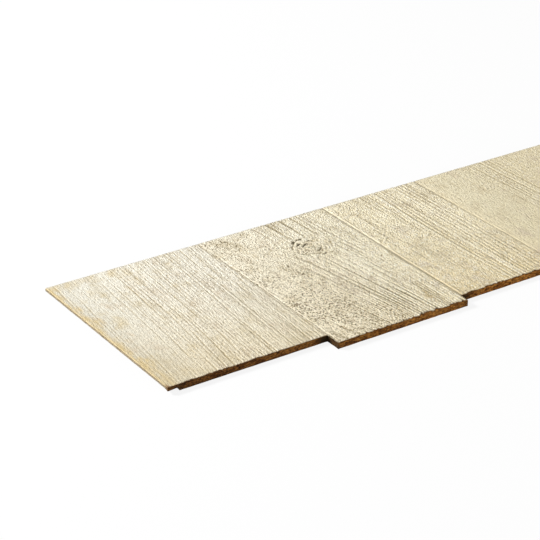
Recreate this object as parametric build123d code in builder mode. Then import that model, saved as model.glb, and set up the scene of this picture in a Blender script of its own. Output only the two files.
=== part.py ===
"""Shake siding panel: one pressed wood-fibre board that looks like a row of wide cedar shakes.

The board lies flat with its face up. X runs along the course of shakes, Y from the staggered
butts to the straight head edge, and Z out of the face. The origin is at the middle of the board's
box, on the plane of its back. Millimetres.
"""
import os
from itertools import accumulate

from build123d import *

# The board
panel_width = 297.0        # from the lowest butts to the head edge
thickness = 9.0
arris_radius = 0.6         # easing of the face's outer edges

# The shakes from left to right: width, and how far the butt is set back from the lowest ones
shakes = (
    (209.0, 21.0),
    (184.0, 0.0),
    (147.0, 13.0),
    (224.0, 0.0),
    (165.0, 21.0),
    (134.0, 13.0),
    (156.2, 0.0),
)

# The scored joints between the shakes
joint_width = 5.6
joint_floor = 0.4          # width at the bottom of the score
joint_depth = 1.0

# The half laps: a lip on the face side at the left end, one on the back side at the right end
lap_length = 14.2          # how far one panel reaches over the next
face_lip = 4.5             # thickness of the lip that shows
lap_slack = 0.3            # between two lapped lips, through the thickness
lap_end_gap = 0.8          # past the end of the covered lip
lip_withdrawal = 1.0       # the covered lip stays this far behind the butt that hides it

# What follows from those sizes
widths = [width for width, setback in shakes]
setbacks = [setback for width, setback in shakes]
cover_length = sum(widths)
overall_length = cover_length + lap_length
face_left = -overall_length / 2
face_right = face_left + cover_length
butt_line = -panel_width / 2
shake_lefts = [face_left + run for run in accumulate(widths[:-1], initial=0)]
joints = shake_lefts[1:]
rebate_depth = thickness - face_lip
back_lip = rebate_depth - lap_slack
covered_setback = max(setbacks[0], setbacks[-1]) + lip_withdrawal

with BuildPart() as panel:
    # The face's outline, with each shake's butt cut back to its own line
    with BuildSketch():
        with Locations((face_left, butt_line)):
            Rectangle(cover_length, panel_width, align=Align.MIN)
        for left, width, setback in zip(shake_lefts, widths, setbacks):
            if setback > 0:
                with Locations((left, butt_line)):
                    Rectangle(width, setback, align=Align.MIN, mode=Mode.SUBTRACT)
    extrude(amount=thickness)

    # Eased arris all round the face
    fillet(panel.faces().sort_by(Axis.Z)[-1].edges(), radius=arris_radius)

    # Scored joints, from the lowest butts up to the head edge
    with BuildSketch(Plane.XZ.offset(-butt_line)):
        with Locations(*[(x, thickness) for x in joints]):
            Polygon(
                (-joint_width / 2, 0),
                (-joint_floor / 2, -joint_depth),
                (joint_floor / 2, -joint_depth),
                (joint_width / 2, 0),
            )
    extrude(amount=-panel_width, mode=Mode.SUBTRACT)

    # Left end: the back is rebated, which leaves the lip on the face side
    with BuildSketch():
        with Locations((face_left, butt_line)):
            Rectangle(lap_length + lap_end_gap, panel_width, align=Align.MIN)
    extrude(amount=rebate_depth, mode=Mode.SUBTRACT)

    # Right end: the lip on the back side, which the first shake of the next panel covers
    with BuildSketch():
        with Locations((face_right, butt_line + covered_setback)):
            Rectangle(lap_length, panel_width - covered_setback, align=Align.MIN)
    extrude(amount=back_lip)

panel.part.label = "shake_panel"

os.makedirs("parts", exist_ok=True)
export_step(panel.part, "parts/shake_panel.step")
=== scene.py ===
"""Looks of the shake siding panel: a pressed wood-fibre board with a primed, embossed cedar face.

The board is one closed mesh. Its face carries the sawn grain, the knot and the scored joints as
relief, and finer grit is bump. Panel sizes and places are in millimetres, x from the left end of the
face and y from the lowest butts, and become metres in the part's frame at the end.
"""
import math
from collections import namedtuple
from itertools import accumulate

import bpy
import numpy as np
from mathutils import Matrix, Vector
from mathutils.geometry import delaunay_2d_cdt


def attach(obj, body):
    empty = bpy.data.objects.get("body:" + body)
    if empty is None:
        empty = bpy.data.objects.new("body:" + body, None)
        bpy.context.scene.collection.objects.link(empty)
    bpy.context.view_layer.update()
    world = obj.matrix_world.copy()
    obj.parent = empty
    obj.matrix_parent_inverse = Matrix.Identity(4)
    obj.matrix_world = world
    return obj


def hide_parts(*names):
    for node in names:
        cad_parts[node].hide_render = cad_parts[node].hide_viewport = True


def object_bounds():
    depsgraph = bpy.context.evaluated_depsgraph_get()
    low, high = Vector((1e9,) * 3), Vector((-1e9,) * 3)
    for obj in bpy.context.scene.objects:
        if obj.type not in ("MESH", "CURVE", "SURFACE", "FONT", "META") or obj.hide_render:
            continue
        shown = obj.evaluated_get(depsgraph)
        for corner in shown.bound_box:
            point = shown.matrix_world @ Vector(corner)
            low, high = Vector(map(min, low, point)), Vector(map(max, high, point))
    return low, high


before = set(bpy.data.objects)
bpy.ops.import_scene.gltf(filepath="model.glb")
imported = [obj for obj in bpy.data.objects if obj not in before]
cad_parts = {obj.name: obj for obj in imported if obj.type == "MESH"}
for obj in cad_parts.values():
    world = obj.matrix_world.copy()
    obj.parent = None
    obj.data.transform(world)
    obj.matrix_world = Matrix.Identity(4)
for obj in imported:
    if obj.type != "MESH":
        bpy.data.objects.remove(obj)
cad_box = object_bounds()

MM = 0.001
NODE = "shake_panel"

# The board, with the sizes of the solid
PANEL_WIDTH = 297.0
THICKNESS = 9.0
ARRIS_RADIUS = 0.6
SHAKES = (                 # width, and how far the butt is set back from the lowest ones
    (209.0, 21.0),
    (184.0, 0.0),
    (147.0, 13.0),
    (224.0, 0.0),
    (165.0, 21.0),
    (134.0, 13.0),
    (156.2, 0.0),
)
JOINT_WIDTH = 5.6
JOINT_DEPTH = 1.0
LAP_LENGTH = 14.2
FACE_LIP = 4.5
LAP_SLACK = 0.3
LAP_END_GAP = 0.8
LIP_WITHDRAWAL = 1.0

WIDTHS = [width for width, setback in SHAKES]
FRONTS = [setback for width, setback in SHAKES]
LEFTS = list(accumulate(WIDTHS[:-1], initial=0.0))
JOINTS = LEFTS[1:]
COVER_LENGTH = sum(WIDTHS)
REBATE_LENGTH = LAP_LENGTH + LAP_END_GAP
REBATE_DEPTH = THICKNESS - FACE_LIP
BACK_LIP = REBATE_DEPTH - LAP_SLACK
BACK_LIP_FRONT = max(FRONTS[0], FRONTS[-1]) + LIP_WITHDRAWAL

# The mesh: how far apart its points lie
COLUMN_STEPS = (0.74, 0.9, 0.76, 0.82, 0.9, 0.9, 0.9)   # across the grain, shake by shake
ROW_STEP = 6.8             # along the grain
KNOT_SHAKE_ROWS = (        # along the grain of the knot's shake: a height, and the step from there on
    (0, 3.6),
    (120, 4.4),
    (184, 1.2),
    (244, 4.0),
    (PANEL_WIDTH, 0),
)
EDGE_STEPS = (0.0, 0.2, 0.6, 2.0)
JOINT_STEPS = (0.4, 0.9, 1.5, 2.1, 2.8, 3.4)
WALL_STEP = 3.6
WALL_HEIGHTS = (7.8, 6.4, 2.2, 0.4)   # loops of points under the arris, in the lips and over the back
BACK_STEP = 22.0
SHARP_ANGLE = math.radians(50)   # edges that turn further are shaded sharp

# The surface of each shake. A set of lines has its spacing, its length before it fades, how steady it
# is, its share of rounded ridges against sharp furrows, its depth, and how strong it is over the shake's
# width (0 to 1) and along its height (in millimetres). The grit's strength runs over the width too, and
# the last pair says how deep the primer's colour is at the head and at the butt. The deeper colour
# towards the butt is mostly painted shade of the light falling off from the head.
FACE_DROP = 0.45           # mean depth of the embossed face below the board's full thickness
LINE_DEPTH = 0.42
FURROW_EDGE = 0.3
DEEPEST_LINE = 1.5
Lines = namedtuple("Lines", "spacing length steady ridge depth over_width over_height")
Style = namedtuple("Style", "seed lean lines grit tone")
EVEN = ((0, 1), (1, 1))
STYLES = (
    Style(11, -0.07, (
        Lines(4.5, 120, .7, .2, 1.12, ((0, .5), (.2, .6), (.36, 1), (.7, .95), (1, .85)),
              ((0, 1.4), (60, 1.25), (110, 1.0), (297, 1.0))),
        Lines(9.0, 130, .2, .1, .6, ((0, .3), (.25, .5), (.36, 1), (.7, 1), (1, .8)), EVEN),
        Lines(3.3, 60, .4, .2, .75, EVEN, EVEN),
    ), ((0, .42), (.2, .5), (.4, .7), (.65, .82), (1, .92)), (.0, .74)),
    Style(23, 0.0, (
        Lines(7.6, 110, .6, .3, 1.7, ((0, 0), (.34, 0), (.44, 1), (.74, 1), (.84, .3), (1, .25)),
              ((0, .3), (50, .5), (75, 1), (195, 1), (215, .3), (240, .3), (265, .8), (297, .9))),
        Lines(5.0, 50, .6, .3, 3.6, ((0, .2), (.3, .4), (.4, 1), (.85, 1), (.92, .4), (1, .4)),
              ((0, 1), (50, 1), (75, .25), (297, .25))),
        Lines(4.0, 26, .1, .3, .7, ((0, 1), (.4, .9), (.5, .5), (1, 1)), EVEN),
    ), ((0, 1.0), (.3, 1.1), (.44, 1.35), (1, 1.4)), (.0, .42)),
    Style(37, 0.0, (
        Lines(5.6, 200, .65, .45, 1.25, ((0, 0), (.4, .05), (.46, 1), (.9, 1), (.95, .3), (1, .3)),
              EVEN),
        Lines(8.7, 220, .3, .5, .75, ((0, 0), (.4, .1), (.5, 1), (.9, 1), (1, .4)), EVEN),
        Lines(4.6, 36, .1, .3, 1.0, ((0, 1), (.4, 1), (.5, .3), (1, .5)), EVEN),
    ), ((0, 1.25), (.4, 1.25), (.5, 1.2), (1, 1.2)), (.1, .82)),
    Style(41, 0.01, (
        Lines(5.8, 110, .6, .35, 1.15,
              ((0, 0), (.33, .05), (.4, 1), (.6, 1), (.7, .3), (.9, .4), (1, .3)), EVEN),
        Lines(8.0, 60, .3, .4, .4, EVEN, EVEN),
    ), ((0, .68), (.34, .7), (.5, 1.0), (1, 1.0)), (.3, .6)),
    Style(59, -0.02, (
        Lines(4.6, 80, .72, .2, 1.25, ((0, 1), (.6, 1), (.75, .5), (1, .4)), EVEN),
        Lines(3.6, 60, .4, .2, .7, EVEN, EVEN),
    ), ((0, .5), (1, .6)), (.2, .55)),
    Style(61, 0.0, (
        Lines(5.6, 180, .65, .45, 1.0, ((0, 0), (.3, .1), (.4, 1), (.85, 1), (1, .4)), EVEN),
        Lines(4.6, 36, .1, .3, .75, EVEN, EVEN),
    ), ((0, .75), (.4, .6), (1, .55)), (.45, .7)),
    Style(73, 0.05, (
        Lines(6.8, 150, .6, .4, 1.1, ((0, .8), (.5, 1), (.65, .2), (1, .1)), EVEN),
        Lines(4.6, 60, .5, .25, 1.0, ((0, .4), (.6, .5), (.7, 1), (1, 1)), EVEN),
    ), ((0, .55), (1, .7)), (.25, .6)),
)
JOINT_WEAR = (0.5, 0.58, 0.5, 0.65, 0.7, 0.65)   # share of its depth that each joint shows
BUTT_BITES = (1.5, 3.6, 2.6, 2.6, 1.5, 2.4, 2.4)   # how far each butt's ragged edge is bitten back
BITE_REACH = 6.0           # how far behind the butt the bites fade out
STAIN_REACH = 8.5          # mean width of the ochre stain along the left end
STAINS = (                 # patches of the same stain: centre, radius and strength
    (84, 288, 12, .55),
    (101, 268, 16, .5),
    (76, 236, 14, .35),
    (66, 66, 16, .45),
    (360, 38, 9, 1.5),
    (340, 224, 15, .5),
    (5, 290, 9, .8),
    (5, 230, 9, 1.0),
    (9, 190, 11, 1.1),
    (8, 135, 10, .8),
    (8, 80, 12, 1.2),
)

# The knot and the torn grain beside it
KNOT_SHAKE = 1
KNOT = (110.5, 213.0)      # centre, from the shake's left edge and the lowest butts
KNOT_RADIUS = 29.0
KNOT_ARCS = (              # strokes: radius, from and to which angle, width and depth
    (25.0, 84, 130, 3.0, 2.2),
    (23.5, 128, 190, 1.8, .7),
    (27.4, 125, 172, 2.2, -.3),
    (16.6, 108, 152, 2.6, 1.5),
    (18.8, 48, 78, 2.2, 1.1),
    (9.2, 70, 145, 2.2, 1.2),
    (4.6, 0, 80, 2.2, 1.3),
    (12.3, 2, 52, 2.0, .5),
    (13.7, -84, -28, 2.0, .7),
    (9.0, 196, 290, 2.0, .7),
    (19.5, 200, 330, 1.8, .5),
    (24.0, 268, 306, 2.2, .7),
    (22.0, 205, 235, 2.2, 1.0),
    (31.0, -15, 40, 2.4, -.25),
)
KNOT_LEAN = ((0, 60, 110, 150, 181), (.05, .26, .12, .08, .03))   # places across the shake, lean at each
TORN_PATCHES = (           # centre, half width, half height and how torn
    (226, 268, 36, 44, .86),
    (244, 80, 60, 90, .92),
    (262, 150, 40, 70, .72),
    (278, 22, 56, 46, .78),
    (310, 213, 28, 24, .75),
    (322, 188, 20, 36, .45),
    (234, 20, 40, 54, .75),
    (250, 150, 90, 200, .5),
    (228, 190, 32, 90, .74),
)
TEAR_ANGLE = math.radians(-24)

# Colours of the primed face, in linear red, green, blue and alpha
# The primer's colour at the head and at the butt: the butt's deeper, warmer colour is mostly painted
# shade of the light falling off from the head.
PRIMER_LIT_AT_HEAD = (0.89, 0.85, 0.73, 1)
PRIMER_SHADED_AT_BUTT = (0.72, 0.605, 0.385, 1)
# The drifts are partly the primer's own tints and partly painted shade, darker towards the right end
# where the light falls off.
PRIMER_DRIFTS_AND_SHADE = (          # tints along the board: from which x on, where in full (metres), and the tint
    (-0.52, -0.617, (0.79, 0.80, 0.805, 1)),
    (-0.42, -0.2, (1.035, 0.985, 0.84, 1)),
    (-0.085, -0.05, (0.90, 0.92, 0.93, 1)),
    (-0.04, 0.06, (0.935, 0.908, 0.865, 1)),
)
ROUGH_LIFT = (1.14, 1.14, 1.12, 1)
BLOTCH_OCHRE = (0.62, 0.52, 0.33, 1)
BLOTCH_GREY = (0.60, 0.50, 0.36, 1)
# Painted shade in the hollows of the fine grain and painted highlights on its tops
GRAIN_HOLLOW_SHADE = (0.45, 0.36, 0.215, 1)
GRAIN_TOP_HIGHLIGHT = (0.98, 0.93, 0.79, 1)
# Painted highlight on the ridges, painted shade in the furrows and joints, and nearly black painted
# shadow in the deepest strokes
RELIEF_HIGHLIGHT_AND_SHADE = (           # from which height on, where in full, how strong, and the colour
    (0.06, 0.28, 0.75, (0.98, 0.92, 0.73, 1)),
    (-0.06, -0.5, 0.68, (0.31, 0.235, 0.11, 1)),
    (-0.55, -1.05, 0.8, (0.075, 0.065, 0.03, 1)),
)
OCHRE_STAIN = (0.60, 0.475, 0.255, 1)
TORN_TINT = (1.0, 0.955, 0.87, 1)
# Painted shade in the torn grain's pits and painted highlights on its flakes
TORN_PIT_SHADE = (0.105, 0.066, 0.013, 1)
TORN_FLAKE_HIGHLIGHT = (0.97, 0.91, 0.74, 1)
# Painted shade on the rounded arris along the head edge
HEAD_ARRIS_SHADE = (0.50, 0.47, 0.42, 1)
HEAD_SHADE_STRIP = (0.1445, 0.1485)   # the greyed strip at the head edge: its y in metres
CHIPPED = (0.17, 0.075, 0.022, 1)

# Colours of the bare fibre, in pairs from dark to light
# The dark left pair is painted shade and the golden right pair painted light along the board
FIBRE_SHADED_LEFT = ((0.014, 0.005, 0.001, 1), (0.215, 0.088, 0.022, 1))
FIBRE_LIT_RIGHT = ((0.06, 0.02, 0.003, 1), (0.66, 0.29, 0.06, 1))
FIBRE_LIGHT_DRIFT = (-0.6, -0.15)    # x in metres where the left pair ends and where the right pair is reached
FIBRE_PATCH = (0.38, 0.26, 0.18, 1)
# Painted shade just under the arris
UNDER_ARRIS_SHADE = (0.05, 0.02, 0.006, 1)
# Painted shade in the corners of the steps
STEP_CORNER_SHADE = (0.02, 0.014, 0.006, 1)
DUSTY_FIBRE = ((0.17, 0.135, 0.085, 1), (0.40, 0.325, 0.215, 1))
RUN_PRIMER = (0.64, 0.51, 0.29, 1)
WORN_CORNER = (0.11, 0.055, 0.018, 1)
WORN_STRIP = (-0.1265, -0.1205)   # the worn corner of the lap's end: its y in metres
BACK_FIBRE = ((0.12, 0.066, 0.03, 1), (0.25, 0.15, 0.07, 1))

# Scales of the noises, in turns per metre
BLOTCH_SCALE = (52, 34, 52)
DOT_SCALE = (760, 320, 760)
DASH_SCALE = (800, 190, 800)
TEAR_SCALE = (750, 420, 300)
FIBRE_SCALE = (300, 300, 760)
PATCH_SCALE = (105, 105, 260)
END_SCALE = (260, 260, 700)
BACK_SCALE = 120

# Depths of the bumps, in metres
PRIMER_BUMP = 0.0028
FIBRE_BUMP = 0.0012
END_BUMP = 0.001
BACK_BUMP = 0.0003

# The studio. Lamps have a name, a place, a target, a size in metres and a power in watts
FLOOR_SIZE = 14
FLOOR_DROP = 0.0002
FLOOR_GREY = (0.85, 0.85, 0.85, 1)
FLOOR_GLOW = 0.88
WHITE = (1, 1, 1, 1)
SOFT_LIGHT = 0.2
LAMPS = (
    ("key", (-2750, 2950, 2750), (350, 150), 1.0, 388),
    ("fill", (1500, -3000, 600), (350, 0), 1.6, 40),
)

# The photograph's camera, in millimetres and degrees
CAMERA_TARGET = (253.4, 203.4)
CAMERA_AZIMUTH = -33.75
CAMERA_ELEVATION = 27.08
CAMERA_DISTANCE = 2441.3
CAMERA_LENS = 135.8
CAMERA_SENSOR = 36.0

FACE, CORE, LAP_END, BACK = range(4)


def to_frame(x, y, z=0.0):
    """A place on the panel, in millimetres, as metres in the part's frame."""
    low = cad_box[0]
    return Vector((low.x + x * MM, low.y + y * MM, low.z + z * MM))


def unit(value):
    """A value held between 0 and 1."""
    return np.clip(value, 0, 1)


def lattice(i, j, seed):
    """A repeatable number from 0 to 1 for each lattice point."""
    mixed = i * 374761393 + j * 668265263 + seed * 974634777
    mixed = (mixed ^ (mixed >> 13)) * 1274126177
    return ((mixed ^ (mixed >> 16)) & 0xFFFF) / 0xFFFF


def smooth(share):
    """Eases a share from 0 to 1."""
    return share * share * share * (share * (share * 6 - 15) + 10)


def noise(u, v, seed):
    """Smooth noise from -1 to 1 that turns over about once per unit of u and of v."""
    u, v = np.broadcast_arrays(np.asarray(u, float), np.asarray(v, float))
    i = np.floor(u).astype(np.int64)
    j = np.floor(v).astype(np.int64)
    a = smooth(u - i)
    b = smooth(v - j)
    low = lattice(i, j, seed) * (1 - a) + lattice(i + 1, j, seed) * a
    high = lattice(i, j + 1, seed) * (1 - a) + lattice(i + 1, j + 1, seed) * a
    return 2 * (low * (1 - b) + high * b) - 1


def grain(u, v, seed, lean=0.0):
    """Noise from -1 to 1 in streaks along v, which start at another place in each column of u. With
    a lean, every other column leans up and those between lean down, which makes lines."""
    u, v = np.broadcast_arrays(np.asarray(u, float), np.asarray(v, float))
    i = np.floor(u).astype(np.int64)
    a = smooth(u - i)

    def column(number):
        shifted = v + 61.8 * lattice(number, 0, seed)
        j = np.floor(shifted).astype(np.int64)
        b = smooth(shifted - j)
        streak = 2 * (lattice(number, j, seed + 1) * (1 - b) + lattice(number, j + 1, seed + 1) * b) - 1
        if lean:
            streak = (lean + (1 - lean) * streak) * (1 - 2 * (number % 2))
        return streak

    return column(i) * (1 - a) + column(i + 1) * a


def strength(curve, place):
    """A strength curve's value at a place along it."""
    places, values = zip(*curve)
    return np.interp(place, places, values)


def line_relief(across, y, share, style):
    """Height of all the lines of a shake."""
    height = np.zeros_like(across)
    for number, lines in enumerate(style.lines):
        there = strength(lines.over_width, share) * strength(lines.over_height, y)
        columns = across / (0.5 * lines.spacing)
        streaks = grain(columns, y / lines.length, style.seed + 20 * number, lines.steady)
        furrows = unit(-streaks - FURROW_EDGE) / (1 - FURROW_EDGE)
        shape = lines.ridge * streaks - (1 - lines.ridge) * furrows
        height = height + LINE_DEPTH * lines.depth * there * shape
    return height


def torn_grain(x, y):
    """How torn the grain is, from 0 to 1."""
    torn = np.zeros_like(x)
    for cx, cy, half_width, half_height, deep in TORN_PATCHES:
        inside = unit(2.0 * (1 - np.hypot((x - cx) / half_width, (y - cy) / half_height)))
        torn = np.maximum(torn, deep * inside)
    return unit(torn * (1 + 0.2 * noise(x / 13, y / 17, 400)))


def knot_relief(x, y):
    """Height of the knot's crumpled wood and strokes, and how much of it there is at each place."""
    dx = x - LEFTS[KNOT_SHAKE] - KNOT[0]
    dy = y - KNOT[1]
    radius = np.hypot(dx, dy) + 1.4 * noise(dx / 8, dy / 8, 5) + 0.8 * noise(dx / 3.5, dy / 4.5, 9)
    angle = np.degrees(np.arctan2(dy, dx))
    broken = np.clip(0.9 + 1.2 * noise(dx / 2.3, dy / 2.8, 10), 0, 1.3)
    height = 0.5 * noise(dx / 2.6, dy / 3.6, 6) + 0.15 * np.cos(2 * math.pi * radius / 5)
    for ring, start, end, width, deep in KNOT_ARCS:
        middle = (start + end) / 2
        half = (end - start) / 2
        aside = np.abs((angle - middle + 180) % 360 - 180) / half
        along = unit(2.4 * (1.1 - aside)) * broken
        height = height - 1.3 * deep * along * np.exp(-((radius - ring) / (0.48 * width)) ** 2)
    return height, unit(3 - 2.4 * radius / KNOT_RADIUS)


def grain_across(x, y, number):
    """Where a place lies across the grain, once the grain's lean and waves are taken out."""
    lean = STYLES[number].lean
    rise = y - PANEL_WIDTH / 2
    if number == KNOT_SHAKE:
        lean = np.interp(x - LEFTS[number], *KNOT_LEAN)
        rise = rise - 0.6 * np.maximum(y - KNOT[1], 0)
    seed = STYLES[number].seed
    across = x + lean * rise
    waves = 2.2 * noise(x / 46, y / 150, seed + 2) + 1.3 * noise(x / 13, y / 150, seed + 3)
    return across + waves + 0.45 * noise(x / 6, y / 40, seed + 4)


def relief(x, y, number):
    """Height of the face over its mean plane, and the grit's strength, which is less beside a joint."""
    style = STYLES[number]
    share = (x - LEFTS[number]) / WIDTHS[number]
    height = line_relief(grain_across(x, y, number), y, share, style)
    height = height + 0.06 * noise(x / 30, y / 70, style.seed + 8)
    if number == KNOT_SHAKE:
        knot, inside = knot_relief(x, y)
        height = height * (1 - inside) + knot * inside
    beside = np.min(np.abs(x[..., None] - 2 - np.array(JOINTS)), axis=-1)
    grit = np.minimum(strength(style.grit, share), 0.3 + 0.4 * beside)
    return np.maximum(height, -DEEPEST_LINE), grit


def joint_relief(x, y):
    """Height of the scored joints, shallow vees with a rounded bottom."""
    height = np.zeros_like(x)
    for k, joint in enumerate(JOINTS):
        wear = JOINT_WEAR[k] * (0.9 + 0.2 * noise(y / 16, k, 91) + 0.1 * noise(y / 5, k, 92))
        aside = np.hypot(x - joint, 0.3) / (0.5 * JOINT_WIDTH)
        height = height - wear * JOINT_DEPTH * unit(1 - aside)
    return height


def arris_drop(x, y, number):
    """How far the eased outer edge of the face falls below it."""
    edge = np.minimum(y - FRONTS[number], PANEL_WIDTH - y)
    edge = np.minimum(edge, np.minimum(x, COVER_LENGTH - x))
    inset = np.clip(ARRIS_RADIUS - edge, 0, ARRIS_RADIUS)
    return ARRIS_RADIUS - np.sqrt(ARRIS_RADIUS ** 2 - inset ** 2)


def butt_bite(x, y, number):
    """How far the ragged edge of a butt is bitten back."""
    from_corner = np.minimum(x - LEFTS[number], LEFTS[number] + WIDTHS[number] - x)
    ragged = noise(x / 7, 0.5, 301) + 0.5 * noise(x / 2.6, 0.5, 302) + 0.3 * noise(x / 1.2, 0.5, 303)
    ragged = unit(1.3 * ragged + 0.1) + 0.05
    fading = unit(1 - (y - FRONTS[number]) / BITE_REACH)
    return BUTT_BITES[number] * ragged * unit(from_corner - 1) * fading


def ochre_stain(x, y):
    """Strength of the ochre stain along the left end and in its patches."""
    reach = STAIN_REACH + 9 * np.clip(noise(y / 22, 0.5, 311), -0.4, 1)
    band = unit(1.3 - x / reach) * unit(0.65 + 0.8 * noise(x / 5, y / 12, 312))
    band = np.maximum(band, unit(1 - x / 2.5))
    patches = np.zeros_like(x)
    for cx, cy, radius, deep in STAINS:
        near = deep * unit(1.4 - 1.4 * np.hypot(x - cx, (y - cy) * 0.6) / radius)
        patches = np.maximum(patches, near * unit(0.5 + 0.8 * noise(x / 4, y / 7, 313)))
    return unit(np.maximum(band, patches))


def face_shading_tone(y, number):
    """How deep the primer's colour is: more towards the butt as painted shade, and less on the rim just
    above it as a painted highlight.
    """
    head_tone, butt_tone = STYLES[number].tone
    below_head = (PANEL_WIDTH - y) / (PANEL_WIDTH - FRONTS[number])
    # The paler rim just above the butt is a painted highlight on its edge.
    rim = unit(1.2 - np.abs(y - FRONTS[number] - 2.2) / 2)
    return head_tone + (butt_tone - head_tone) * below_head ** 1.8 - 0.12 * rim


def bare_edge(x, y, bite, number):
    """How far the primer is off: along the butt, in its bites and at the board's left corner."""
    from_butt = y - FRONTS[number]
    chip = np.maximum(1.1 - from_butt / 0.7, 0.8 * bite - from_butt / 1.5)
    worn_corner = 2.0 - np.hypot(x, from_butt) / 2.8 + 0.6 * noise(x / 1.6, y / 1.6, 315)
    return unit(np.maximum(chip, 0.85 * unit(worn_corner)))


class MeshParts:
    """Points, faces and point values of the board while it is put together."""

    def __init__(self):
        self.points = []
        self.ideal = []
        self.values = {"height": [], "grit": [], "torn": [], "tone": [], "stain": [], "chip": []}
        self.faces = []
        self.materials = []
        self.shared = {}

    def add_points(self, x, y, z, **values):
        """Adds points and returns their numbers."""
        first = len(self.points)
        self.points.extend(zip(x.ravel(), y.ravel(), z.ravel()))
        for name, value in values.items():
            self.values[name].extend(value.ravel())
        return np.arange(first, len(self.points)).reshape(x.shape)

    def shared_point(self, x, y, z, stain=0.0, tone=0.0):
        """The number of the point at this place, which is added only once."""
        key = (round(x, 3), round(y, 3), round(z, 3))
        if key not in self.shared:
            self.shared[key] = len(self.points)
            self.points.append((x, y, z))
            own = {"tone": tone, "stain": stain, "chip": 1}
            for name, values in self.values.items():
                values.append(own.get(name, 0))
        return self.shared[key]

    def add_face(self, ring, material):
        """Adds a face without its repeated corners."""
        ring = [p for k, p in enumerate(ring) if p != ring[k - 1]]
        if len(ring) > 2:
            self.faces.append(ring)
            self.materials.append(material)

    def zip_strip(self, side_a, run_a, side_b, run_b, materials):
        """Triangles between two rows of points, each sorted along its run. The strip faces the
        side from which a lies left of b, with the run going up. Materials go by the points of b."""
        i = j = 0
        while i < len(side_a) - 1 or j < len(side_b) - 1:
            a_left = i < len(side_a) - 1
            b_left = j < len(side_b) - 1
            if a_left and (not b_left or run_a[i + 1] <= run_b[j + 1]):
                self.add_face((side_a[i], side_b[j], side_a[i + 1]), materials[j])
                i += 1
            else:
                self.add_face((side_a[i], side_b[j], side_b[j + 1]), materials[j])
                j += 1

    def loft(self, upper, lower, materials):
        """Faces between two closed loops of points, seen from outside with upper on top."""
        for k in range(len(upper)):
            n = (k + 1) % len(upper)
            self.add_face((lower[k], lower[n], upper[n], upper[k]), materials[k])


def spread(low, high, step):
    """Even places from low to high, both included, about one step apart."""
    return np.linspace(low, high, max(2, round((high - low) / step) + 1))


def shake_columns(number):
    """Places of a shake's own columns: the column in each joint is shared."""
    left = LEFTS[number]
    right = left + WIDTHS[number]
    starts = EDGE_STEPS if number == 0 else JOINT_STEPS
    ends = EDGE_STEPS if number == len(SHAKES) - 1 else JOINT_STEPS
    inner = spread(left + starts[-1], right - ends[-1], COLUMN_STEPS[number])
    return np.concatenate([left + np.array(starts[:-1]), inner, right - np.array(ends[-2::-1])])


def shake_rows(number):
    """Places of a shake's rows, from its butt to the head edge."""
    low = FRONTS[number] + EDGE_STEPS[-1]
    high = PANEL_WIDTH - EDGE_STEPS[-1]
    inner = spread(low, high, ROW_STEP)
    if number == KNOT_SHAKE:
        zones = zip(KNOT_SHAKE_ROWS, KNOT_SHAKE_ROWS[1:])
        runs = [spread(max(start, low), min(end, high), step) for (start, step), (end, beyond) in zones]
        inner = np.unique(np.round(np.concatenate(runs), 4))
    butt = FRONTS[number] + np.array(EDGE_STEPS[:-1])
    head = PANEL_WIDTH - np.array(EDGE_STEPS[-2::-1])
    return np.round(np.concatenate([butt, inner, head]), 4)


def face_points(parts, x, y, number):
    """Adds points of the face at these places of one shake."""
    height, grit = relief(x, y, number)
    bite = butt_bite(x, y, number)
    joint = joint_relief(x, y)
    z = THICKNESS - FACE_DROP + height + joint - arris_drop(x, y, number) - 0.3 * bite
    parts.ideal.extend(zip(x.ravel(), y.ravel()))
    return parts.add_points(
        x, y + bite, np.minimum(z, THICKNESS),
        # The joints' depth goes into this height, so the painted shade of the furrows falls in the
        # joints too.
        height=height + 0.6 * joint,
        grit=grit,
        torn=torn_grain(x, y) if number == KNOT_SHAKE else np.zeros_like(x),
        tone=face_shading_tone(y, number),
        stain=ochre_stain(x, y),
        chip=bare_edge(x, y, bite, number),
    )


def add_shake(parts, number):
    """One shake's grid of points with its faces. Returns the grid and the places of its rows."""
    rows = shake_rows(number)
    x, y = np.meshgrid(shake_columns(number), rows, indexing="ij")
    grid = face_points(parts, x, y, number)
    for i in range(grid.shape[0] - 1):
        for j in range(grid.shape[1] - 1):
            parts.add_face((grid[i, j], grid[i + 1, j], grid[i + 1, j + 1], grid[i, j + 1]), FACE)
    return grid, rows


def add_seam(parts, k, grids, rows):
    """The column of points in a joint, joined to the shakes beside it. Returns it and its places."""
    run = np.unique(np.concatenate([rows[k], rows[k + 1]]))
    proud = k if FRONTS[k] < FRONTS[k + 1] else k + 1
    seam = face_points(parts, np.full(len(run), JOINTS[k]), run, proud)
    left = run >= FRONTS[k]
    right = run >= FRONTS[k + 1]
    materials = [FACE] * len(run)
    parts.zip_strip(grids[k][-1], rows[k], seam[left], run[left], materials)
    parts.zip_strip(seam[right], run[right], grids[k + 1][0], rows[k + 1], materials)
    return seam, run


def face_border(grids, seams, seam_rows):
    """The border of the face, a closed loop of points, anticlockwise from the left butt."""
    border = []
    for number, grid in enumerate(grids):
        border.extend(grid[:, 0])
        if number < len(seams):
            here = FRONTS[number]
            beyond = FRONTS[number + 1]
            step = seams[number][seam_rows[number] <= max(here, beyond)]
            border.extend(step if beyond > here else step[::-1])
    border.extend(grids[-1][-1, 1:-1])
    for number in reversed(range(len(grids))):
        border.extend(grids[number][::-1, -1])
        if number:
            border.append(seams[number - 1][-1])
    border.extend(grids[0][0, -2:0:-1])
    return border


def build_face(parts):
    """The embossed face. Returns its border."""
    grids, rows = zip(*[add_shake(parts, number) for number in range(len(SHAKES))])
    seams, seam_rows = zip(*[add_seam(parts, k, grids, rows) for k in range(len(JOINTS))])
    return face_border(grids, seams, seam_rows)


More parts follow.
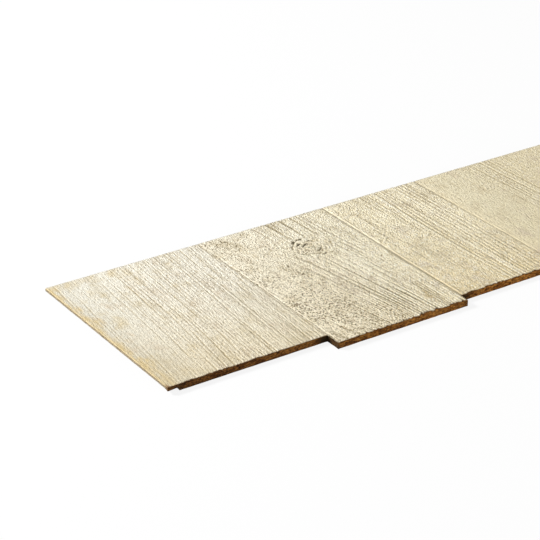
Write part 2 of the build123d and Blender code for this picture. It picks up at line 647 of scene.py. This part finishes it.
def closed_run(places):
    """Distance along a closed outline to each place, and at the end to the first one again."""
    ring = np.vstack([places, places[:1]])
    return np.concatenate([[0], np.cumsum(np.linalg.norm(np.diff(ring, axis=0), axis=1))])


def edge_outline():
    """Points round the board, anticlockwise from the left butt: place, inward direction, and how
    far each point moves along x below the face lip and below the back lip's top."""
    corners = [(0, FRONTS[0], REBATE_LENGTH, 0), (REBATE_LENGTH, FRONTS[0], 0, 0)]
    for k, joint in enumerate(JOINTS):
        corners += [(joint, FRONTS[k], 0, 0), (joint, FRONTS[k + 1], 0, 0)]
    corners += [
        (COVER_LENGTH, FRONTS[-1], 0, 0),
        (COVER_LENGTH, BACK_LIP_FRONT, 0, 0),
        (COVER_LENGTH, BACK_LIP_FRONT, 0, LAP_LENGTH),
        (COVER_LENGTH, PANEL_WIDTH, 0, LAP_LENGTH),
        (COVER_LENGTH, PANEL_WIDTH, 0, 0),
        (REBATE_LENGTH, PANEL_WIDTH, 0, 0),
        (0, PANEL_WIDTH, REBATE_LENGTH, 0),
    ]
    outline = []
    for here, there in zip(corners, corners[1:] + corners[:1]):
        start = np.array(here[:2])
        end = np.array(there[:2])
        length = np.linalg.norm(end - start)
        outline.append((*start, 0, 0, *here[2:]))
        count = round(length / WALL_STEP)
        if here[:2] == (0, FRONTS[0]) or there[:2] == (0, PANEL_WIDTH):
            count = 1
        for share in np.arange(1, count) / max(count, 1):
            along = (end - start) / length
            outline.append((*(start + (end - start) * share), -along[1], along[0], *here[2:]))
    return np.array(outline)


def corner_shade(outline):
    """How much painted shade each point of the outline gets: in the corners of the steps and on the step
    walls that face left; it is darker beside the left lip too.
    """
    x = outline[:, 0]
    y = outline[:, 1]
    shade = np.zeros(len(outline))
    for joint, here, beyond in zip(JOINTS, FRONTS, FRONTS[1:]):
        corner_distance = np.hypot(x - joint, y - max(here, beyond))
        shade = np.maximum(shade, unit(1.6 - corner_distance / 12))
        shade = np.maximum(shade, (x == joint) * (here > beyond) * 0.9)
    lip_distance = np.hypot(x - 10, y - FRONTS[0])
    return np.maximum(shade, 0.7 * unit(1.5 - lip_distance / 7))


def build_edges(parts, border):
    """The board's edges down to the back, with the half lap at each end. Returns the last loop."""
    outline = edge_outline()
    run = closed_run(outline[:, :2])
    shade = corner_shade(outline)
    at_lap_end = outline[:, 4] > 0
    kinds = np.where(at_lap_end & np.roll(at_lap_end, -1), LAP_END, CORE)

    def level(z, left=0, right=0, rough=0.3, stain=0.0):
        """A loop of points at one height, moved in or out at the ends."""
        bite = rough * (0.5 + 0.5 * noise(run[:-1] / 6, z * 0.7, 71))
        x = outline[:, 0] + outline[:, 2] * bite + left * outline[:, 4] + right * outline[:, 5]
        y = outline[:, 1] + outline[:, 3] * bite
        frayed = 1.3 * unit(1 - np.hypot(x - 1, y - FRONTS[0]) / 7) * (z == REBATE_DEPTH)
        return [parts.shared_point(*spot, stain, tone) for *spot, tone in zip(x, y, z - frayed, shade)]

    under_arris, in_face_lip, in_back_lip, over_back = WALL_HEIGHTS
    levels = [
        # This loop's 0.8 gives the core a painted shade just under the arris; on the face the same point
        # value is the ochre stain.
        level(under_arris, stain=0.8),
        level(in_face_lip),
        level(REBATE_DEPTH),
        level(REBATE_DEPTH, left=1),
        level(BACK_LIP, left=1),
        level(BACK_LIP, left=1, right=1),
        level(in_back_lip, left=1, right=1),
        level(over_back, left=1, right=1),
        level(0.0, left=1, right=1, rough=0.4),
    ]
    border_run = closed_run(np.array([parts.ideal[p] for p in border]))
    first = levels[0]
    parts.zip_strip(border + border[:1], border_run, first + first[:1], run, list(kinds) + [CORE])
    for upper, lower in zip(levels, levels[1:]):
        parts.loft(upper, lower, kinds)
    return levels[-1]


def build_back(parts, loop):
    """The flat back, inside its loop of points."""
    loop = list(dict.fromkeys(loop))
    spots = [Vector(parts.points[p][:2]) for p in loop]
    margin = BACK_STEP / 2
    inner_x = spread(REBATE_LENGTH + margin, COVER_LENGTH - margin, BACK_STEP)
    inner_y = spread(BACK_LIP_FRONT + margin, PANEL_WIDTH - margin, BACK_STEP)
    numbers = loop + [parts.shared_point(x, y, 0.0) for x in inner_x for y in inner_y]
    spots += [Vector((x, y)) for x in inner_x for y in inner_y]
    filled = delaunay_2d_cdt(spots, [], [list(range(len(loop)))], 1, 1e-6)
    for triangle in filled[2]:
        ring = [numbers[filled[3][corner][0]] for corner in triangle]
        parts.add_face(ring[::-1], BACK)


def board():
    """The whole board as one mesh object."""
    parts = MeshParts()
    border = build_face(parts)
    build_back(parts, build_edges(parts, border))
    mesh = bpy.data.meshes.new("shake_board")
    mesh.from_pydata([to_frame(*spot) for spot in parts.points], [], parts.faces)
    for name, values in parts.values.items():
        mesh.attributes.new(name, "FLOAT", "POINT").data.foreach_set("value", values)
    mesh.polygons.foreach_set("material_index", parts.materials)
    mesh.shade_smooth()
    mesh.set_sharp_from_angle(angle=SHARP_ANGLE)
    piece = bpy.data.objects.new("shake_board", mesh)
    bpy.context.scene.collection.objects.link(piece)
    return piece


def add_node(tree, kind, inputs=None, **settings):
    """Adds a shader node, sets it up, and links or sets its inputs."""
    node = tree.nodes.new(kind)
    for name, value in settings.items():
        setattr(node, name, value)
    for name, value in (inputs or {}).items():
        if isinstance(value, bpy.types.NodeSocket):
            tree.links.new(value, node.inputs[name])
        else:
            node.inputs[name].default_value = value
    return node


def math_node(tree, operation, a, b=0.0, clamp=False):
    """Two values put together by one operation."""
    node = add_node(tree, "ShaderNodeMath", {0: a, 1: b}, operation=operation, use_clamp=clamp)
    return node.outputs[0]


def map_range(tree, value, low, high, to_low=0.0, to_high=1.0):
    """A value taken from one range to another and held inside it."""
    inputs = {"Value": value, "From Min": low, "From Max": high, "To Min": to_low, "To Max": to_high}
    return add_node(tree, "ShaderNodeMapRange", inputs).outputs[0]


def mix_colour(tree, factor, a, b, blend="MIX"):
    """Colour a, with b over it as far as the factor says."""
    node = add_node(tree, "ShaderNodeMix", {0: factor, 6: a, 7: b}, data_type="RGBA", blend_type=blend)
    return node.outputs[2]


def stretched(tree, coordinates, scale):
    """Coordinates with a scale of their own on each axis."""
    return add_node(tree, "ShaderNodeMapping", {"Vector": coordinates, "Scale": scale}).outputs[0]


def noise_node(tree, vector, scale, detail=2.0, roughness=0.6):
    """Noise from 0 to 1."""
    inputs = {"Vector": vector, "Scale": scale, "Detail": detail, "Roughness": roughness}
    return add_node(tree, "ShaderNodeTexNoise", inputs).outputs["Fac"]


def attribute(tree, name):
    """One of the mesh's point values."""
    return add_node(tree, "ShaderNodeAttribute", attribute_name=name).outputs["Fac"]


def object_coordinates(tree):
    """Places on the piece, in metres in the part's frame."""
    return add_node(tree, "ShaderNodeTexCoord").outputs["Object"]


def split(tree, coordinates):
    """The x and y of coordinates."""
    return add_node(tree, "ShaderNodeSeparateXYZ", {0: coordinates}).outputs[:2]


def bump(tree, height, distance):
    """A normal that leans as the height does, over a distance in metres."""
    return add_node(tree, "ShaderNodeBump", {"Height": height, "Distance": distance}).outputs[0]


def new_material(name):
    """A material without nodes, and its node tree."""
    material = bpy.data.materials.new(name)
    material.use_nodes = True
    tree = material.node_tree
    tree.nodes.clear()
    return material, tree


def finish_material(tree, colour, normal, roughness, specular=0.1):
    """The shader at the end of a material."""
    shader = add_node(tree, "ShaderNodeBsdfPrincipled", {
        "Base Color": colour, "Roughness": roughness, "Normal": normal, "Specular IOR Level": specular})
    add_node(tree, "ShaderNodeOutputMaterial", {"Surface": shader.outputs[0]})


def primer_colour(tree, along, grit):
    """The primer's colour, with painted shade towards the butt and a painted highlight on the rim above
    it, its drifts along the board with painted shade towards the right end, and paler where the face is
    rough.
    """
    colour = mix_colour(tree, attribute(tree, "tone"), PRIMER_LIT_AT_HEAD, PRIMER_SHADED_AT_BUTT)
    for start, full, tint in PRIMER_DRIFTS_AND_SHADE:
        colour = mix_colour(tree, map_range(tree, along, start, full), colour, tint, "MULTIPLY")
    return mix_colour(tree, map_range(tree, grit, 0.9, 1.3), colour, ROUGH_LIFT, "MULTIPLY")


def fine_grain(tree, coordinates, grit):
    """Grain finer than the mesh: short dashes, or dots where the face is rough."""
    dots = noise_node(tree, stretched(tree, coordinates, DOT_SCALE), 1)
    dashes = noise_node(tree, stretched(tree, coordinates, DASH_SCALE), 1)
    rough = map_range(tree, grit, 0.95, 1.1)
    return add_node(tree, "ShaderNodeMix", {0: rough, 2: dashes, 3: dots}).outputs[0]


def slanting_tears(tree, coordinates):
    """Noise in short streaks that slant across the grain."""
    turned = {"Vector": coordinates, "Rotation": (0, 0, TEAR_ANGLE)}
    slanted = add_node(tree, "ShaderNodeMapping", turned).outputs[0]
    return noise_node(tree, stretched(tree, slanted, TEAR_SCALE), 1)


def with_blotches(tree, colour, coordinates):
    """Large soft blotches, some ochre and some grey."""
    blotch = noise_node(tree, stretched(tree, coordinates, BLOTCH_SCALE), 1, 3)
    colour = mix_colour(tree, map_range(tree, blotch, 0.5, 0.75, 0, 0.8), colour, BLOTCH_OCHRE)
    return mix_colour(tree, map_range(tree, blotch, 0.45, 0.25, 0, 0.8), colour, BLOTCH_GREY)


def with_grit(tree, colour, mottle, grit):
    """Painted shade in the hollows of the fine grain, and painted highlights on its tops."""
    hollow_shade = math_node(tree, "MULTIPLY", map_range(tree, mottle, 0.31, 0.445, 0.86, 0), grit)
    colour = mix_colour(tree, hollow_shade, colour, GRAIN_HOLLOW_SHADE)
    highlight_strength = math_node(tree, "SUBTRACT", grit, 0.4, clamp=True)
    top_highlights = math_node(tree, "MULTIPLY", map_range(tree, mottle, 0.51, 0.63), highlight_strength)
    return mix_colour(tree, top_highlights, colour, GRAIN_TOP_HIGHLIGHT)


def with_relief(tree, colour):
    """Painted highlight on the ridges and painted shade in the furrows, the deepest ones nearly black as
    painted shadow.
    """
    height = attribute(tree, "height")
    for start, full, share, tint in RELIEF_HIGHLIGHT_AND_SHADE:
        colour = mix_colour(tree, map_range(tree, height, start, full, 0, share), colour, tint)
    return colour


def with_tears(tree, colour, tears, torn):
    """Where the grain is torn: painted shade in its pits and painted highlights on its flakes."""
    colour = mix_colour(tree, torn, colour, TORN_TINT, "MULTIPLY")
    sunk = math_node(tree, "ADD", tears, map_range(tree, torn, 0, 1, 0.16, 0))
    colour = mix_colour(tree, map_range(tree, sunk, 0.42, 0.46, 1.0, 0), colour, TORN_PIT_SHADE)
    flake_highlights = math_node(tree, "MULTIPLY", map_range(tree, tears, 0.52, 0.60, 0, 0.7), torn)
    return mix_colour(tree, flake_highlights, colour, TORN_FLAKE_HIGHLIGHT)


def primed_face():
    """Cream primer over the embossed grain, with painted light and shade in its colour."""
    material, tree = new_material("primed_face")
    coordinates = object_coordinates(tree)
    along, upward = split(tree, coordinates)
    grit = attribute(tree, "grit")
    torn = attribute(tree, "torn")
    mottle = fine_grain(tree, coordinates, grit)
    tears = slanting_tears(tree, coordinates)

    colour = primer_colour(tree, along, grit)
    colour = with_blotches(tree, colour, coordinates)
    colour = with_grit(tree, colour, mottle, grit)
    colour = with_relief(tree, colour)
    colour = mix_colour(tree, attribute(tree, "stain"), colour, OCHRE_STAIN)
    colour = with_tears(tree, colour, tears, torn)
    # Painted shade on the head edge's rounded arris
    colour = mix_colour(tree, map_range(tree, upward, *HEAD_SHADE_STRIP, 0, 0.5), colour, HEAD_ARRIS_SHADE)
    colour = mix_colour(tree, attribute(tree, "chip"), colour, CHIPPED)

    lumps = math_node(tree, "MULTIPLY", tears, math_node(tree, "MULTIPLY", torn, 0.6))
    bumps = math_node(tree, "ADD", math_node(tree, "MULTIPLY", mottle, grit), lumps)
    finish_material(tree, colour, bump(tree, bumps, PRIMER_BUMP), roughness=0.8, specular=0.25)
    return material


def fibre_colour(tree, coordinates, fibre):
    """Pressed fibre in patches, with painted shade darkening it at the left of the board and painted
    light making it more golden to the right.
    """
    along = split(tree, coordinates)[0]
    lit_share = map_range(tree, along, *FIBRE_LIGHT_DRIFT)
    dark, light = [mix_colour(tree, lit_share, *pair) for pair in zip(FIBRE_SHADED_LEFT, FIBRE_LIT_RIGHT)]
    colour = mix_colour(tree, map_range(tree, fibre, 0.36, 0.62), dark, light)
    patches = noise_node(tree, stretched(tree, coordinates, PATCH_SCALE), 1, 2, 0.5)
    dense = map_range(tree, patches, 0.45, 0.58, 0, 0.75)
    return mix_colour(tree, dense, colour, FIBRE_PATCH, "MULTIPLY")


def bare_core():
    """Brown pressed fibre on the cut edges, with painted shade under the arris and in the corners of the
    steps, and darker beside the left lip.
    """
    material, tree = new_material("bare_core")
    coordinates = object_coordinates(tree)
    fibre = noise_node(tree, stretched(tree, coordinates, FIBRE_SCALE), 1, 4, 0.7)
    colour = fibre_colour(tree, coordinates, fibre)
    # Painted shade just under the arris
    under_arris_shade = map_range(tree, attribute(tree, "stain"), 0.2, 0.8, 0, 0.25)
    colour = mix_colour(tree, under_arris_shade, colour, UNDER_ARRIS_SHADE)
    # Painted shade in the corners of the steps and on their walls that face left, and darker beside the
    # left lip
    corner = map_range(tree, attribute(tree, "tone"), 0, 1, 0, 0.88)
    colour = mix_colour(tree, corner, colour, STEP_CORNER_SHADE)
    finish_material(tree, colour, bump(tree, fibre, FIBRE_BUMP), roughness=0.9)
    return material


def dusty_end():
    """The lap's end: fibre under grey primer dust, ochre primer run over its top, and a worn corner."""
    material, tree = new_material("dusty_end")
    coordinates = object_coordinates(tree)
    fibre = noise_node(tree, stretched(tree, coordinates, END_SCALE), 1, 4, 0.7)
    colour = mix_colour(tree, map_range(tree, fibre, 0.3, 0.7), *DUSTY_FIBRE)
    over = map_range(tree, attribute(tree, "stain"), 0.8, 1)
    colour = mix_colour(tree, over, colour, RUN_PRIMER)
    upward = split(tree, coordinates)[1]
    colour = mix_colour(tree, map_range(tree, upward, *WORN_STRIP, 0.9, 0), colour, WORN_CORNER)
    finish_material(tree, colour, bump(tree, fibre, END_BUMP), roughness=0.9)
    return material


def bare_back():
    """Plain brown fibre on the back."""
    material, tree = new_material("bare_back")
    mottle = noise_node(tree, object_coordinates(tree), BACK_SCALE, 4, 0.65)
    colour = mix_colour(tree, map_range(tree, mottle, 0.3, 0.7), *BACK_FIBRE)
    finish_material(tree, colour, bump(tree, mottle, BACK_BUMP), roughness=0.85)
    return material


def seen_directly(tree):
    """1 for rays that show the background as such: from the camera, in gloss and through glass."""
    path = add_node(tree, "ShaderNodeLightPath")
    seen = math_node(tree, "MAXIMUM", path.outputs["Is Camera Ray"], path.outputs["Is Glossy Ray"])
    return math_node(tree, "MAXIMUM", seen, path.outputs["Is Transmission Ray"])


def add_floor():
    """A white floor that keeps a light shadow."""
    bpy.ops.mesh.primitive_plane_add(size=FLOOR_SIZE, location=(0, 0, -FLOOR_DROP))
    floor = bpy.context.object
    floor.name = "floor"
    material, tree = new_material("floor_white")
    paper = add_node(tree, "ShaderNodeBsdfDiffuse", {"Color": FLOOR_GREY})
    glow = add_node(tree, "ShaderNodeEmission", {"Color": WHITE, "Strength": 1.0})
    share = math_node(tree, "MULTIPLY", seen_directly(tree), FLOOR_GLOW)
    surface = add_node(tree, "ShaderNodeMixShader", {0: share, 1: paper.outputs[0], 2: glow.outputs[0]})
    add_node(tree, "ShaderNodeOutputMaterial", {"Surface": surface.outputs[0]})
    floor.data.materials.append(material)


def add_world():
    """White behind everything, and an even soft light."""
    world = bpy.data.worlds.new("studio")
    world.use_nodes = True
    tree = world.node_tree
    tree.nodes.clear()
    soft = add_node(tree, "ShaderNodeBackground", {"Color": WHITE, "Strength": SOFT_LIGHT})
    white = add_node(tree, "ShaderNodeBackground", {"Color": WHITE, "Strength": 1.0})
    seen = seen_directly(tree)
    both = add_node(tree, "ShaderNodeMixShader", {0: seen, 1: soft.outputs[0], 2: white.outputs[0]})
    add_node(tree, "ShaderNodeOutputWorld", {"Surface": both.outputs[0]})
    bpy.context.scene.world = world


def add_lamp(name, place, target, size, energy):
    """A round soft lamp that faces its target."""
    light = bpy.data.lights.new(name, "AREA")
    light.shape = "DISK"
    light.size = size
    light.energy = energy
    lamp = bpy.data.objects.new(name, light)
    lamp.location = place
    lamp.rotation_euler = (target - place).to_track_quat("-Z", "Y").to_euler()
    bpy.context.scene.collection.objects.link(lamp)


def add_camera():
    """The camera at the photograph's viewing angle."""
    data = bpy.data.cameras.new("camera")
    data.lens = CAMERA_LENS
    data.sensor_width = CAMERA_SENSOR
    azimuth = math.radians(CAMERA_AZIMUTH)
    elevation = math.radians(CAMERA_ELEVATION)
    level = math.cos(elevation)
    back = Vector((math.sin(azimuth) * level, -math.cos(azimuth) * level, math.sin(elevation)))
    camera = bpy.data.objects.new("camera", data)
    camera.location = to_frame(*CAMERA_TARGET) + back * CAMERA_DISTANCE * MM
    camera.rotation_euler = (-back).to_track_quat("-Z", "Y").to_euler()
    bpy.context.scene.collection.objects.link(camera)
    bpy.context.scene.camera = camera


piece = board()
for material in (primed_face(), bare_core(), dusty_end(), bare_back()):
    piece.data.materials.append(material)
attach(piece, "root")
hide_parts(NODE)

add_floor()
add_world()
for lamp_name, lamp_place, lamp_target, lamp_size, lamp_energy in LAMPS:
    add_lamp(lamp_name, to_frame(*lamp_place), to_frame(*lamp_target), lamp_size, lamp_energy)
add_camera()
bpy.context.scene.view_settings.view_transform = "Standard"
